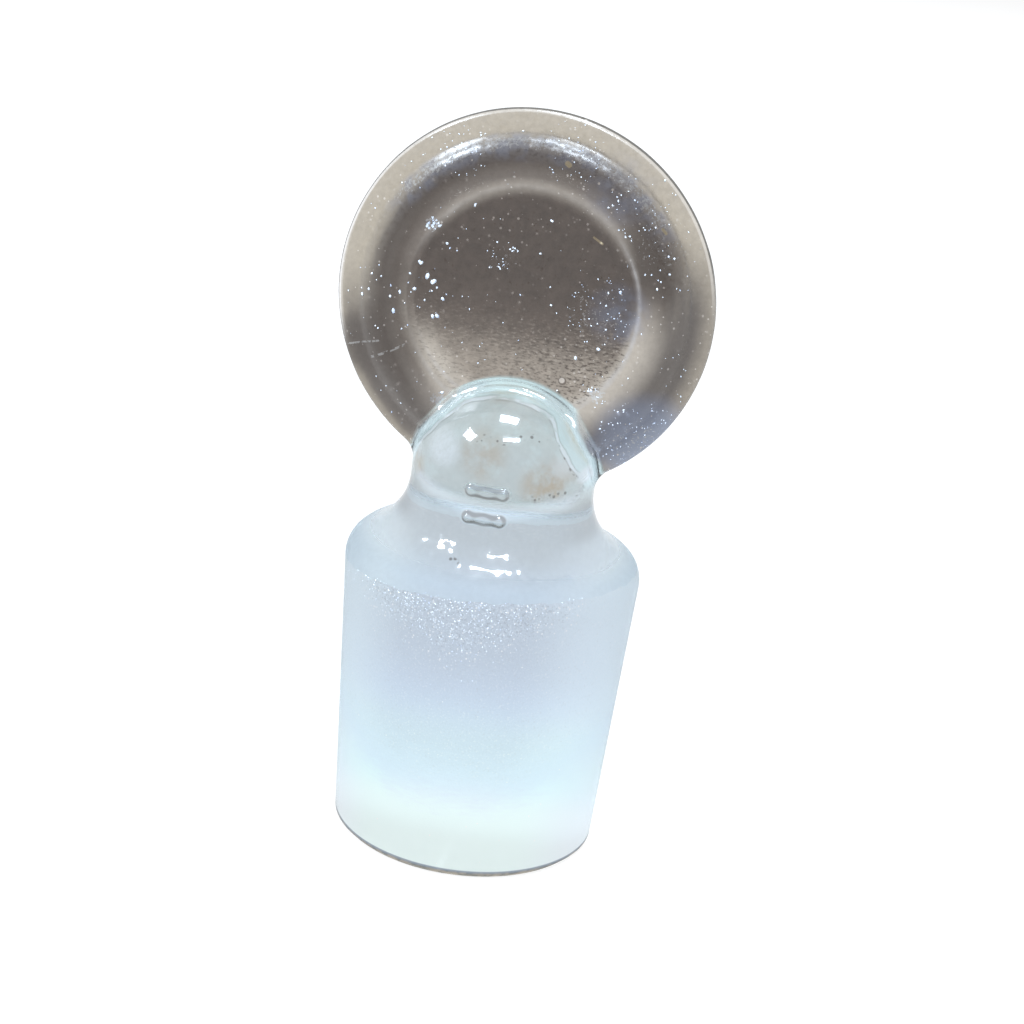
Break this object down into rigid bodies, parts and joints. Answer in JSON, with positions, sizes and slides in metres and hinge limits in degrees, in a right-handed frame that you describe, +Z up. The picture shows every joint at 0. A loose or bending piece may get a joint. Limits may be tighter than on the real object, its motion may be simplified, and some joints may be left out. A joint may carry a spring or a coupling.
{
  "type": "glass stopper",
  "caption": "One-piece pressed glass stopper: ground tapered plug, rounded shoulder, short domed neck and a flat round head with a raised ring and a shallow recess on each face.",
  "frame": {"origin": "centre of the plug's flat lower face", "axes": "+Z up the plug's axis to the top of the head; the head's two faces look along -Y and +Y, with the raised tally bars on the -Y side"},
  "size_m": [0.0298, 0.024, 0.0594],
  "materials": {
    "glass": "clear pressed glass with a grey-brown cast in the thick round head and a pale blue cast below; the tapered plug is finely ground and looks frosted"
  },
  "bodies": {
    "root": {"stopper": "glass"}
  },
  "joints": []
}
